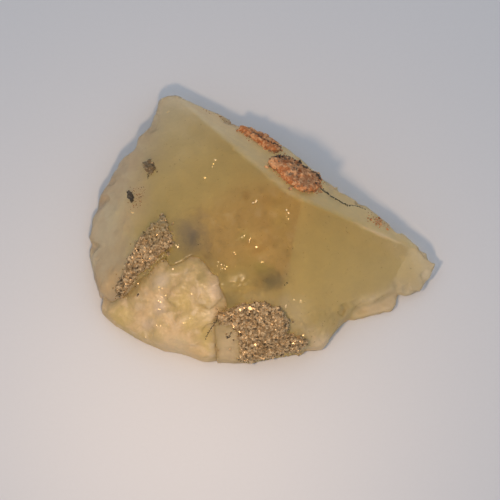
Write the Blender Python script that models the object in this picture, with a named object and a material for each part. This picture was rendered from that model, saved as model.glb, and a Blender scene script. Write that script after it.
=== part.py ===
"""A broken hand specimen of yellow fluorite with a mass of cream calcite, sulfide druses and iron crusts.

The rock starts as a block with the plan of the specimen. Flat cuts give it its crystal faces, scoops and
chips break its edges, and broken zones are roughened. It is then parted into fluorite and calcite, and the
crusts are laid on it. Everything is in metres, with Z up; the origin is on the floor, under the middle.
"""

import math
import random

import bmesh
import bpy
from mathutils import Matrix, Vector, noise

MM = 0.001
GAP = 0.3 * MM
WELD = 0.004 * MM
FLAT_ANGLE = math.radians(0.4)
BLOCK_TOP = 24 * MM
BELOW_FLOOR = 2 * MM

# Plan of the specimen where it is widest, clockwise from the top left corner, in mm.
OUTLINE = (
    (-17.3, 25.0), (-14.4, 24.4), (-10.6, 22.9), (-5.8, 20.8), (-2.5, 19.7), (1.1, 17.4), (4.7, 14.8),
    (6.8, 13.0), (10.1, 9.5), (13.1, 8.2), (14.6, 6.0), (18.2, 4.3), (22.3, 0.8), (24.5, -0.5),
    (28.1, -4.1), (29.5, -5.0), (31.3, -5.3), (31.1, -6.3), (29.3, -9.4), (28.1, -11.0), (25.4, -12.3),
    (23.8, -11.7), (21.9, -12.6), (19.2, -14.3), (16.9, -14.5), (14.9, -16.6), (13.3, -18.0),
    (10.1, -22.4), (7.4, -22.4), (6.5, -23.2), (2.9, -23.6), (0.4, -24.1), (-2.5, -24.9),
    (-7.0, -24.7), (-10.6, -24.7), (-14.2, -23.2), (-17.8, -22.6), (-22.3, -20.5), (-26.8, -17.6),
    (-29.0, -15.5), (-29.5, -11.5), (-31.0, -6.5), (-31.3, -3.6), (-30.8, 2.1), (-29.7, 5.5),
    (-27.4, 9.5), (-25.7, 12.6), (-23.2, 14.4), (-22.7, 16.7), (-20.7, 18.8), (-19.8, 21.8), (-18.7, 23.9),
)
# Thin clear ledge at the foot of the right face: plan and thickness.
LEDGE = (
    (13.4, -15.6), (16.0, -12.5), (21.5, -10.5), (23.8, -11.6), (23.6, -13.6), (22.9, -14.9), (19.6, -15.7),
    (16.7, -16.5), (14.6, -16.5),
)
LEDGE_TOP = 1.5 * MM

# Crystal faces: a point on each, the way it falls (degrees from +X towards +Y) and how steeply.
PEAK = (4.3, 1.5, 17.0)
FACES = {
    "back_left": (PEAK, 61.9, 48.2),
    "back_right": (PEAK, 51.3, 51.4),
    "right": (PEAK, -43.2, 30.0),
    "upper_left": (PEAK, 137.5, 21.8),
    "window": (PEAK, -165.0, 12.5),
    "front": ((-7.0, -14.8, 13.2), -88.6, 48.0),
    "right_foot": ((11.6, -18.2, 5.3), -58.0, 44.0),
    "rim_left": ((-24.5, 0.5, 8.6), 177.7, 43.9),
    "rim_upper": ((-20.5, 16.5, 6.8), 155.3, 36.1),
    "rim_lower": ((-24.8, -8.5, 8.6), -134.0, 38.7),
}
# Undercuts: a point on each, the way it faces and how far it leans out over the floor.
UNDERCUTS = (
    ((10.1, 9.5, 2.4), 52.0, 52.0),
    ((-5.8, 20.8, 2.0), 63.0, 48.0),
    ((26.6, -2.7, 0.0), -26.6, 82.0),
    ((-31.0, 0.0, 1.4), 178.0, 40.0),
)
# Shell-like scoops broken out of the edges: middle, radii and turn about Z, in mm and degrees.
SCOOPS = (
    ((-22.6, 20.6, 8.6), (5.0, 6.5, 4.6), 20),
    ((-28.6, 10.8, 7.6), (3.4, 6.0, 4.2), -25),
    ((-32.6, 0.5, 7.0), (3.6, 7.5, 3.9), 4),
    ((-31.4, -10.0, 7.4), (3.8, 4.6, 4.2), 10),
    ((-13.5, -26.5, 7.6), (6.6, 3.8, 4.6), 6),
    ((8.5, -24.8, 7.0), (4.6, 3.2, 3.6), -8),
    ((14.6, 10.4, 9.0), (6.0, 2.6, 4.4), -35),
    ((1.5, 20.4, 7.8), (5.6, 3.0, 4.6), -30),
    ((25.6, 2.2, 7.4), (5.4, 2.4, 4.2), -38),
    ((18.6, -17.6, 6.8), (4.0, 3.4, 4.0), 30),
)
EDGE_CHIPS = 30
CHIP_SEED = 7
CHIP_SIZE = (0.7 * MM, 1.6 * MM)
CHIP_LENGTH = (1.0, 2.4)
CHIP_DEPTH = (0.6, 1.1)
CHIP_RISE = 0.5

# Roughening of the broken zones.
ROUGH_EDGE = 2.3 * MM
ROUGH_DEPTH = 0.34 * MM
ROUGH_SCALE = 3.1 * MM
ROUGH_ROOM = 0.3
ROUGH_ROUNDS = 5
STEP_TILT = 1.6
STEP_SPREAD = 7.3
SWELL_DEPTH = 0.8
SWELL_SCALE = 0.5
NEARLY_FLAT = 0.02
ON_PLANE = 0.01 * MM
FLAT_FACES = ("right", "upper_left", "window", "back_left", "back_right")

# Calcite: its plan, as far as it reaches, and the cleavage blocks that stand out of it.
CALCITE_PLAN = (
    (-19.4, -9.5), (-17.4, -8.1), (-16.6, -10.2), (-14.7, -9.6), (-13.1, -8.5), (-11.3, -8.9), (-10.2, -10.4),
    (-9.0, -12.4), (-7.9, -12.6), (-7.8, -14.4), (-6.8, -16.1), (-6.3, -17.2), (-7.4, -18.4), (-8.7, -19.4),
    (-8.6, -22.0), (-7.5, -28.0), (-34.0, -28.0), (-34.0, -12.2), (-29.2, -12.0), (-27.1, -14.2),
    (-24.6, -13.6), (-23.1, -12.0), (-22.1, -11.1), (-20.4, -10.8),
)
CALCITE_BLOCKS = 58
BLOCK_SEED = 21
BLOCK_SIZE = (2.0 * MM, 4.4 * MM)
BLOCK_STRETCH = ((0.7, 1.5), (0.7, 1.3), (0.8, 1.2))
BLOCK_PROUD = (0.25 * MM, 1.05 * MM)
CLEAVAGE_ANGLE = 102.0
CLEAVAGE_TURN = (24.0, -31.0, 38.0)
TURN_SPREAD = 7.0

# Crusts: plan, the face each lies on, thickness, grain size and number of grains.
LEFT_DRUSE_PLAN = (
    (-18.0, -0.5), (-18.7, -2.5), (-19.8, -2.4), (-21.0, -4.4), (-21.9, -4.9), (-22.4, -6.0), (-23.5, -8.0),
    (-24.5, -9.3), (-24.7, -10.6), (-26.2, -12.2), (-26.2, -13.4), (-25.5, -14.0), (-24.4, -12.8),
    (-23.3, -11.6), (-22.2, -10.7), (-20.6, -10.4), (-19.3, -9.2), (-18.5, -7.8), (-17.0, -7.0),
    (-16.5, -5.5), (-17.4, -3.5),
)
FRONT_DRUSE_PLAN = (
    (-8.2, -19.4), (-7.5, -18.9), (-5.5, -18.3), (-4.3, -17.8), (-2.9, -17.7), (-0.8, -17.4), (0.0, -17.2),
    (1.4, -17.9), (2.8, -17.9), (3.3, -18.8), (4.2, -19.6), (4.4, -20.4), (3.7, -21.5), (5.5, -22.1),
    (8.0, -22.1), (7.1, -22.9), (6.7, -23.1), (6.0, -23.5), (2.6, -23.9), (0.3, -24.4), (-2.4, -25.0),
    (-4.8, -24.8), (-3.3, -24.3), (-4.0, -23.6), (-4.5, -22.3), (-3.9, -21.3), (-5.0, -20.7), (-5.9, -20.1),
    (-6.9, -20.1),
)
IRON_MAIN_PLAN = (
    (1.4, 10.5), (2.3, 11.4), (4.3, 11.8), (6.1, 10.7), (7.9, 9.4), (9.7, 9.1), (10.2, 7.8), (9.4, 4.6),
    (7.2, 3.3), (5.6, 3.9), (4.2, 5.3), (2.6, 7.8), (1.2, 8.9),
)
IRON_UPPER_PLAN = (
    (-4.5, 18.6), (-2.5, 18.6), (0.4, 17.4), (2.3, 15.7), (3.1, 13.9), (2.1, 13.6), (0.7, 14.0), (-1.1, 15.6),
    (-2.9, 17.2),
)
IRON_LOWER_PLAN = (
    (18.8, 1.0), (19.9, 1.6), (20.9, 1.2), (21.8, -0.3), (21.2, -1.1), (20.2, -0.1), (18.9, 0.2),
)
UPPER_SPOT_PLAN = ((-21.4, 11.2), (-20.1, 11.0), (-19.7, 9.7), (-20.2, 8.5), (-20.8, 8.8), (-21.5, 9.7))
LOWER_SPOT_PLAN = ((-24.2, 4.9), (-23.6, 4.7), (-23.4, 3.6), (-23.8, 3.0), (-24.3, 3.7))
CUBE, LUMP = "cube", "lump"
GRAIN_SINK = 0.15
LUMP_RADIUS = 0.55
CRUST_FOOT = 0.4 * MM
CRUST_GAP = 0.4 * MM
CORE = Vector((0.0, 0.0, 3.0)) * MM
CRUSTS = (
    ("sulfide_druse_left", LEFT_DRUSE_PLAN, (-0.35, -0.25, 0.90), 0.45, (0.9, 1.7), 36, CUBE, "sulfide"),
    ("sulfide_druse_front", FRONT_DRUSE_PLAN, (0.0, -0.70, 0.72), 0.50, (1.0, 1.9), 46, CUBE, "sulfide"),
    ("iron_crust_main", IRON_MAIN_PLAN, (0.45, 0.60, 0.66), 0.45, (1.3, 2.4), 20, LUMP, "iron"),
    ("iron_crust_upper", IRON_UPPER_PLAN, (0.40, 0.65, 0.65), 0.35, (1.0, 1.7), 9, LUMP, "iron"),
    ("iron_crust_lower", IRON_LOWER_PLAN, (0.45, 0.60, 0.66), 0.35, (0.8, 1.2), 5, LUMP, "iron"),
    ("sulfide_spot_upper", UPPER_SPOT_PLAN, (-0.30, 0.28, 0.91), 0.35, (0.7, 1.1), 8, CUBE, "sulfide"),
    ("sulfide_spot_lower", LOWER_SPOT_PLAN, (-0.50, 0.10, 0.86), 0.30, (0.6, 0.9), 5, CUBE, "sulfide"),
)

# Finishes: colour, roughness, metallic and transmission.
FINISHES = {
    "fluorite": ((0.52, 0.43, 0.17, 1), 0.25, 0.0, 0.5),
    "calcite": ((0.62, 0.50, 0.30, 1), 0.45, 0.0, 0.2),
    "sulfide": ((0.32, 0.26, 0.18, 1), 0.35, 0.8, 0.0),
    "iron": ((0.36, 0.15, 0.06, 1), 0.85, 0.0, 0.0),
}


def clear_scene():
    for item in list(bpy.data.objects):
        bpy.data.objects.remove(item, do_unlink=True)


def finish(name):
    colour, roughness, metallic, transmission = FINISHES[name]
    material = bpy.data.materials.new(name)
    material.use_nodes = True
    shader = material.node_tree.nodes["Principled BSDF"]
    shader.inputs["Base Color"].default_value = colour
    shader.inputs["Roughness"].default_value = roughness
    shader.inputs["Metallic"].default_value = metallic
    shader.inputs["Transmission Weight"].default_value = transmission
    return material


def as_object(bm, name):
    """A bmesh made into an object in the scene."""
    mesh = bpy.data.meshes.new(name)
    bm.to_mesh(mesh)
    bm.free()
    piece = bpy.data.objects.new(name, mesh)
    bpy.context.collection.objects.link(piece)
    return piece


def mesh_of(piece):
    bm = bmesh.new()
    bm.from_mesh(piece.data)
    return bm


def in_order(mesh):
    """The mesh with its points and faces in the order of their places, so that every build is the same."""
    order = sorted(range(len(mesh.vertices)), key=lambda index: mesh.vertices[index].co[:])
    rank = {index: place for place, index in enumerate(order)}
    faces = []
    for polygon in mesh.polygons:
        corners = [rank[index] for index in polygon.vertices]
        first = corners.index(min(corners))
        faces.append(corners[first:] + corners[:first])
    ordered = bpy.data.meshes.new(mesh.name)
    ordered.from_pydata([mesh.vertices[index].co[:] for index in order], [], sorted(faces))
    return ordered


def combine(piece, other, operation):
    """The exact Boolean of two solids, kept in the first; the second is used up."""
    step = piece.modifiers.new(operation, "BOOLEAN")
    step.object = other
    step.operation = operation
    step.solver = "EXACT"
    step.use_self = True
    scene_graph = bpy.context.evaluated_depsgraph_get()
    result = bpy.data.meshes.new_from_object(piece.evaluated_get(scene_graph))
    piece.modifiers.clear()
    piece.data = in_order(result)
    bpy.data.objects.remove(other, do_unlink=True)
    return piece


def copy_of(piece, change=Matrix.Identity(4)):
    """A second object with its own mesh, moved or scaled by a matrix."""
    mesh = piece.data.copy()
    mesh.transform(change)
    twin = bpy.data.objects.new(piece.name + "_copy", mesh)
    bpy.context.collection.objects.link(twin)
    return twin


def tidy(piece):
    """Slivers and doubled points removed, and every face made a triangle."""
    bm = mesh_of(piece)
    bmesh.ops.remove_doubles(bm, verts=bm.verts, dist=WELD)
    bmesh.ops.dissolve_degenerate(bm, edges=bm.edges, dist=WELD)
    bmesh.ops.dissolve_limit(bm, angle_limit=FLAT_ANGLE, verts=bm.verts, edges=bm.edges)
    bm.to_mesh(piece.data)
    bm.free()
    piece.data = in_order(piece.data)
    bm = mesh_of(piece)
    bmesh.ops.triangulate(bm, faces=bm.faces)
    bm.to_mesh(piece.data)
    bm.free()
    keep_largest(piece)


def keep_largest(piece):
    """Loose crumbs removed, so that one closed body is left."""
    bm = mesh_of(piece)
    bodies = []
    unseen = set(bm.verts)
    while unseen:
        body = {unseen.pop()}
        reached = list(body)
        while reached:
            vert = reached.pop()
            for edge in vert.link_edges:
                other = edge.other_vert(vert)
                if other in unseen:
                    unseen.remove(other)
                    body.add(other)
                    reached.append(other)
        bodies.append(body)
    bodies.sort(key=len)
    for body in bodies[:-1]:
        bmesh.ops.delete(bm, geom=list(body), context="VERTS")
    bm.to_mesh(piece.data)
    bm.free()


def leaning(toward, tilt):
    """Unit vector that leans tilt degrees from straight up, towards a compass direction in plan."""
    turn, lean = math.radians(toward), math.radians(tilt)
    return Vector((math.sin(lean) * math.cos(turn), math.sin(lean) * math.sin(turn), math.cos(lean)))


def prism(plan, bottom, top, inset=0.0):
    """Upright prism on a plan in mm, drawn in by inset."""
    bm = bmesh.new()
    corners = [bm.verts.new((x * MM, y * MM, bottom)) for x, y in plan]
    floor = bm.faces.new(corners)
    floor.normal_update()
    if floor.normal.z > 0:
        floor.normal_flip()
    if inset:
        ring = bmesh.ops.inset_region(
            bm, faces=[floor], thickness=inset, use_even_offset=True, use_boundary=True)
        bmesh.ops.delete(bm, geom=ring["faces"], context="FACES")
        bmesh.ops.delete(bm, geom=[v for v in bm.verts if not v.link_faces], context="VERTS")
    raised = bmesh.ops.extrude_face_region(bm, geom=bm.faces[:], use_keep_orig=True)
    moved = [item for item in raised["geom"] if isinstance(item, bmesh.types.BMVert)]
    bmesh.ops.translate(bm, verts=moved, vec=(0, 0, top - bottom))
    bmesh.ops.recalc_face_normals(bm, faces=bm.faces)
    return bm


def slice_off(bm, point, normal):
    """Everything beyond a plane cut away, and the cut closed."""
    cut = bmesh.ops.bisect_plane(
        bm, geom=bm.verts[:] + bm.edges[:] + bm.faces[:], dist=WELD, plane_co=point, plane_no=normal,
        clear_outer=True)
    rim = [item for item in cut["geom_cut"] if isinstance(item, bmesh.types.BMEdge)]
    bmesh.ops.holes_fill(bm, edges=rim, sides=0)


def cut_block():
    """The block with its crystal faces and undercuts."""
    bm = prism(OUTLINE, 0.0, BLOCK_TOP)
    for point, toward, dip in FACES.values():
        slice_off(bm, Vector(point) * MM, leaning(toward, dip))
    for point, toward, lean in UNDERCUTS:
        slice_off(bm, Vector(point) * MM, leaning(toward, 90 + lean))
    bmesh.ops.recalc_face_normals(bm, faces=bm.faces)
    return as_object(bm, "rock")


def scoop(middle, radii, turn):
    bm = bmesh.new()
    bmesh.ops.create_icosphere(bm, subdivisions=2, radius=1.0)
    bmesh.ops.scale(bm, verts=bm.verts, vec=Vector(radii) * MM)
    bmesh.ops.rotate(bm, verts=bm.verts, matrix=Matrix.Rotation(math.radians(turn), 3, "Z"))
    bmesh.ops.translate(bm, verts=bm.verts, vec=Vector(middle) * MM)
    return as_object(bm, "scoop")


def surface_height(x, y):
    """Height of the crystal faces over a point of the plan."""
    heights = []
    for point, toward, dip in FACES.values():
        middle, normal = Vector(point) * MM, leaning(toward, dip)
        heights.append(middle.z - (normal.x * (x - middle.x) + normal.y * (y - middle.y)) / normal.z)
    return min(heights)


def add_edge_chip(bm, rng):
    """A cutter on the upper edge of the block, to break a small piece off it."""
    index = rng.randrange(len(OUTLINE))
    start, end = Vector(OUTLINE[index]), Vector(OUTLINE[(index + 1) % len(OUTLINE)])
    place = start.lerp(end, rng.random()) * MM
    size = rng.uniform(*CHIP_SIZE)
    height = surface_height(place.x, place.y) + size * CHIP_RISE
    add_chip(bm, rng, size, (place.x, place.y, height))


def add_chip(bm, rng, size, place):
    """A long turned cube."""
    shape = Matrix.Diagonal((1, rng.uniform(*CHIP_LENGTH), rng.uniform(*CHIP_DEPTH), 1))
    for axis in "XYZ":
        shape = Matrix.Rotation(rng.uniform(-math.pi, math.pi), 4, axis) @ shape
    shape = Matrix.Translation(place) @ shape
    bmesh.ops.create_cube(bm, size=size * 2, matrix=shape)


def lies_on_flat_face(point):
    """Whether a point is on one of the smooth crystal faces, or on the floor."""
    if point.z < ON_PLANE:
        return True
    for name in FLAT_FACES:
        middle, toward, dip = FACES[name]
        away = (point - Vector(middle) * MM).dot(leaning(toward, dip))
        if abs(away) < ON_PLANE:
            return True
    return False


def fracture(point):
    """Depth of a broken surface at a point: small tilted flats with steps between them."""
    place = point / ROUGH_SCALE
    nearest = noise.voronoi(place)[1][0]
    tilt = noise.cell_vector(nearest * STEP_SPREAD) - Vector((0.5, 0.5, 0.5))
    return (place - nearest).dot(tilt) * STEP_TILT + noise.noise(place * SWELL_SCALE) * SWELL_DEPTH


def roughen(piece):
    """Broken zones cut into small triangles and moved in and out; crystal faces stay flat."""
    bm = mesh_of(piece)
    bmesh.ops.triangulate(bm, faces=bm.faces)
    for _ in range(ROUGH_ROUNDS):
        long_edges = [
            edge for edge in bm.edges
            if edge.calc_length() > ROUGH_EDGE and not all(
                lies_on_flat_face(face.calc_center_median()) for face in edge.link_faces)]
        if not long_edges:
            break
        bmesh.ops.subdivide_edges(bm, edges=long_edges, cuts=1)
        bmesh.ops.triangulate(bm, faces=bm.faces)
        flat_edges = [edge for edge in bm.edges if edge.calc_face_angle(0) < NEARLY_FLAT]
        bmesh.ops.beautify_fill(bm, faces=bm.faces, edges=flat_edges)
    bm.normal_update()
    moves = []
    for vert in bm.verts:
        if not lies_on_flat_face(vert.co):
            room = min(edge.calc_length() for edge in vert.link_edges) * ROUGH_ROOM
            depth = fracture(vert.co) * ROUGH_DEPTH
            moves.append((vert, vert.normal * max(-room, min(room, depth))))
    for vert, move in moves:
        vert.co += move
        vert.co.z = max(vert.co.z, 0.0)
    bm.to_mesh(piece.data)
    bm.free()


def make_rock():
    rock = cut_block()
    ledge = as_object(prism(LEDGE, 0.0, LEDGE_TOP), "ledge")
    combine(rock, ledge, "UNION")
    for middle, radii, turn in SCOOPS:
        combine(rock, scoop(middle, radii, turn), "DIFFERENCE")
    rng = random.Random(CHIP_SEED)
    chips = bmesh.new()
    for _ in range(EDGE_CHIPS):
        add_edge_chip(chips, rng)
    combine(rock, as_object(chips, "chips"), "DIFFERENCE")
    tidy(rock)
    roughen(rock)
    tidy(rock)
    return rock


def add_cleavage_block(bm, rng, x, y):
    """One calcite cleavage block: a cube leaned over by the cleavage angle, its top just out of the rock."""
    size = rng.uniform(*BLOCK_SIZE)
    lean = math.cos(math.radians(CLEAVAGE_ANGLE))
    corners = bmesh.ops.create_cube(bm, size=size)["verts"]
    shear = Matrix(((1, lean, lean), (0, 1, lean), (0, 0, 1)))
    stretch = Matrix.Diagonal([rng.uniform(*limits) for limits in BLOCK_STRETCH])
    turned = Matrix.Identity(3)
    for angle, axis in zip(CLEAVAGE_TURN, "XYZ"):
        angle += rng.uniform(-TURN_SPREAD, TURN_SPREAD)
        turned = Matrix.Rotation(math.radians(angle), 3, axis) @ turned
    bmesh.ops.transform(bm, verts=corners, matrix=(turned @ shear @ stretch).to_4x4())
    highest = max(vert.co.z for vert in corners)
    top = surface_height(x, y) + rng.uniform(*BLOCK_PROUD)
    bmesh.ops.translate(bm, verts=corners, vec=(x, y, top - highest))


def inside_plan(x, y, plan):
    """Whether a point in mm lies within a plan, by counting the sides to its right."""
    inside = False
    for (x0, y0), (x1, y1) in zip(plan, plan[1:] + plan[:1]):
        if (y0 > y) != (y1 > y) and x < x0 + (y - y0) * (x1 - x0) / (y1 - y0):
            inside = not inside
    return inside


def scattered(rng, plans, count):
    """Points in mm that lie within every plan."""
    xs, ys = zip(*plans[0])
    found = []
    while len(found) < count:
        x, y = rng.uniform(min(xs), max(xs)), rng.uniform(min(ys), max(ys))
        if all(inside_plan(x, y, plan) for plan in plans):
            found.append((x, y))
    return found


def make_calcite(rock):
    """The rock within the calcite's plan, with its cleavage blocks, trimmed to the specimen's outline."""
    calcite = copy_of(rock)
    calcite.name = "calcite"
    rng = random.Random(BLOCK_SEED)
    blocks = bmesh.new()
    for x, y in scattered(rng, (CALCITE_PLAN, OUTLINE), CALCITE_BLOCKS):
        add_cleavage_block(blocks, rng, x * MM, y * MM)
    combine(calcite, as_object(blocks, "cleavage_blocks"), "UNION")
    combine(calcite, as_object(prism(OUTLINE, 0.0, BLOCK_TOP), "outline"), "INTERSECT")
    plan = as_object(prism(CALCITE_PLAN, -BELOW_FLOOR, BLOCK_TOP, GAP), "calcite_plan")
    combine(calcite, plan, "INTERSECT")
    tidy(calcite)
    return calcite


def make_fluorite(rock):
    fluorite = copy_of(rock)
    fluorite.name = "fluorite"
    combine(fluorite, as_object(prism(CALCITE_PLAN, -BELOW_FLOOR, BLOCK_TOP), "calcite_plan"), "DIFFERENCE")
    tidy(fluorite)
    return fluorite


def add_grain(bm, rng, kind, size, seat):
    """One crystal cube or one rounded lump, turned at random about its seat."""
    turn = Matrix.Identity(4)
    for axis in "XYZ":
        turn = Matrix.Rotation(rng.uniform(0, math.pi), 4, axis) @ turn
    place = Matrix.Translation(seat) @ turn
    if kind == CUBE:
        bmesh.ops.create_cube(bm, size=size, matrix=place)
    else:
        bmesh.ops.create_icosphere(bm, subdivisions=1, radius=size * LUMP_RADIUS, matrix=place)


def swollen(rock, growth):
    """A copy of the rock, grown about its core so that its whole surface moves out."""
    centre = Matrix.Translation(CORE)
    return copy_of(rock, centre @ Matrix.Scale(growth, 4) @ centre.inverted())


def make_crust(rock, name, plan, facing, thickness, sizes, count, kind):
    """A thin skin that follows the rock's surface within a plan, with grains standing in it."""
    normal = Vector(facing).normalized()
    middle = sum((Vector(point) for point in plan), Vector((0, 0))) * MM / len(plan)
    seat = Vector((middle.x, middle.y, surface_height(middle.x, middle.y)))
    reach = (seat - CORE).dot(normal)
    crust = swollen(rock, 1 + (CRUST_GAP + thickness * MM) / reach)
    crust.name = name
    rng = random.Random(name)
    grains = bmesh.new()
    for x, y in scattered(rng, (plan,), count):
        size = rng.uniform(*sizes) * MM
        height = surface_height(x * MM, y * MM)
        seat = Vector((x * MM, y * MM, height)) + normal * (CRUST_GAP + thickness * MM - size * GRAIN_SINK)
        add_grain(grains, rng, kind, size, seat)
    combine(crust, as_object(grains, "grains"), "UNION")
    combine(crust, as_object(prism(plan, CRUST_FOOT, BLOCK_TOP), "plan"), "INTERSECT")
    combine(crust, swollen(rock, 1 + CRUST_GAP / reach), "DIFFERENCE")
    tidy(crust)
    return crust


def main():
    clear_scene()
    finishes = {name: finish(name) for name in FINISHES}
    rock = make_rock()
    fluorite = make_fluorite(rock)
    fluorite.data.materials.append(finishes["fluorite"])
    calcite = make_calcite(rock)
    calcite.data.materials.append(finishes["calcite"])
    for name, plan, facing, thickness, sizes, count, kind, slot in CRUSTS:
        crust = make_crust(rock, name, plan, facing, thickness, sizes, count, kind)
        crust.data.materials.append(finishes[slot])
    bpy.data.objects.remove(rock, do_unlink=True)


main()
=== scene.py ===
"""Looks of a broken fluorite and calcite specimen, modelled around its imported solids."""

import math
import random

import bmesh
import bpy
import numpy as np
from bpy.props import FloatProperty, FloatVectorProperty, IntProperty, PointerProperty
from mathutils import Matrix, Vector, noise
from mathutils.bvhtree import BVHTree
from mathutils.geometry import intersect_point_line


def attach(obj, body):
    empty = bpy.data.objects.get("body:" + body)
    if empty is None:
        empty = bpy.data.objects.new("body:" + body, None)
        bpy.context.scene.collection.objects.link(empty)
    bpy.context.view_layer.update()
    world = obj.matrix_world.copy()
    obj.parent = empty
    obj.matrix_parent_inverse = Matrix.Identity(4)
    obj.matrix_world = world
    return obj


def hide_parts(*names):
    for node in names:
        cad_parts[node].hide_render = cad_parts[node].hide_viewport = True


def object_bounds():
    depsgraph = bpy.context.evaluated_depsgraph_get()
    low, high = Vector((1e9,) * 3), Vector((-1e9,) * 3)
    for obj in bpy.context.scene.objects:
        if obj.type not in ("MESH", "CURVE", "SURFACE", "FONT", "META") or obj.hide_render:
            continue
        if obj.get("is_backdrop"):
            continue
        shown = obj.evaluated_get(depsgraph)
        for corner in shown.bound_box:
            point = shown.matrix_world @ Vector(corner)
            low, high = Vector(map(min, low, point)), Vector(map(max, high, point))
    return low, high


bl_info = {
    "name": "Fluorite and calcite specimen",
    "version": (1, 0, 0),
    "blender": (4, 5, 0),
    "location": "View3D > Sidebar > Specimen",
    "description": "Makes the crystal, its calcite, druses and iron crusts, and a small studio",
    "category": "Add Mesh",
}

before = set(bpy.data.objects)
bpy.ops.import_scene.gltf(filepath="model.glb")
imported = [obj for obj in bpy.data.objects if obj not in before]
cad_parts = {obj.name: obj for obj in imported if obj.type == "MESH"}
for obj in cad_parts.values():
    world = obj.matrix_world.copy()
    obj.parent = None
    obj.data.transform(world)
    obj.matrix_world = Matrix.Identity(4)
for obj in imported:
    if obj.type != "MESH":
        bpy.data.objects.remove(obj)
CAD_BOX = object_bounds()

MM = 0.001
UP = Vector((0, 0, 1))
WELD = 0.001 * MM
ROCKS = ("fluorite_crystal", "calcite_mass")

# Fluorite and calcite: how they bend light, their tint, and how strongly the inside absorbs, per metre.
FLUORITE_IOR = 1.434
CALCITE_IOR = 1.58
CLEAR_TINT = (0.97, 0.96, 0.93)
FLUORITE_DENSITY = 60.0
CALCITE_DENSITY = 70.0

# The fluorite's smooth faces: least area of a flat that counts as one, and the steep front above the druse.
SMOOTH_FACE_AREA = 60 * MM * MM
FOOT_X = (-8 * MM, 13 * MM)
FOOT_Y = (-24 * MM, -12 * MM)
FOOT_LOWEST = 3 * MM

# Rounds of smoothing: parts of the fluorite's fine mesh, then the other minerals.
SMOOTHING = {
    "all": 5, "faces": 160, "back": 24, "undersides": 30, "ridge": 60,
    "calcite": 48, "druse": 8, "crust": 3,
}
# Rounds of blurring for what the fluorite's finish reads.
BLURRING = {"broken": 14, "back": 10, "frosted": 40}
# Chips in broken stone: size and share of each.
FLUORITE_CHIPS = ((2.6 * MM, 0.9), (1.1 * MM, 0.6))
CALCITE_CHIPS = ((3.0 * MM, 0.11), (1.3 * MM, 0.11))
# What lies higher than this is off the floor, and what lies lower than this stays flat on it.
OFF_FLOOR = 0.2 * MM
ON_FLOOR = 0.02 * MM

# The ridge between front and back is softer near the top: its ends in mm, how wide and how far past them.
RIDGE_ENDS = ((4.3, 1.5, 17.0), (-4.0, 11.5, 12.4))
RIDGE_WIDTH = 3 * MM
RIDGE_PAST = 2 * MM

# How near fluorite and calcite reach for each other, and how far the calcite goes in.
FLUORITE_REACH = 1.0 * MM
CALCITE_REACH = 1.8 * MM
CALCITE_DEPTH = 0.25 * MM

# Crusts: step of their fine mesh, the gap that they close and how far they go in.
CRUST_STEP = 0.22 * MM
CRUST_REACH = 1.0 * MM
CRUST_DEPTH = 0.05 * MM
# Strays beside a crust: one for so many of its grains, and how far they scatter, in mm.
DRUSE_STRAYS = (12, 0.6)
IRON_STRAYS = (3, 0.45)
# Crumbs on each iron crust.
IRON = {"iron_crust_main": 1500, "iron_crust_upper": 700, "iron_crust_lower": 120}

# Chips of broken stone lean at random. Blender seeds noise_vector from the clock unless it is told a seed.
LEAN_SEED = 5
LEAN_SPREAD = 7.31
noise.seed_set(LEAN_SEED)

# Small shapes made at a time, the seed of the flaws, and the step from crumb to crumb in a seam, in mm.
BATCH = 40
FLAW_SEED = 41
SEAM_STEP = 0.09

# Studio: the floor just under the specimen, the lamp, and the camera's film and the place that it aims at.
FLOOR_DROP = 0.03 * MM
FLOOR_HALF = 1.5
LAMP_PLACE = Vector((-20, -50, 84)) * MM
AIM_X = -2.52 * MM
AIM_LOWER = 2.88 * MM
SENSOR = 36.0


def length(name, about, default):
    """A size in metres that a user may change."""
    return FloatProperty(name=name, description=about, default=default, min=0.0, unit="LENGTH", precision=5)


def colour(name, about, default):
    return FloatVectorProperty(
        name=name, description=about, default=default, size=3, subtype="COLOR", min=0, max=1)


def share(name, about, default):
    return FloatProperty(name=name, description=about, default=default, min=0.0, max=1.0, subtype="FACTOR")


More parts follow.
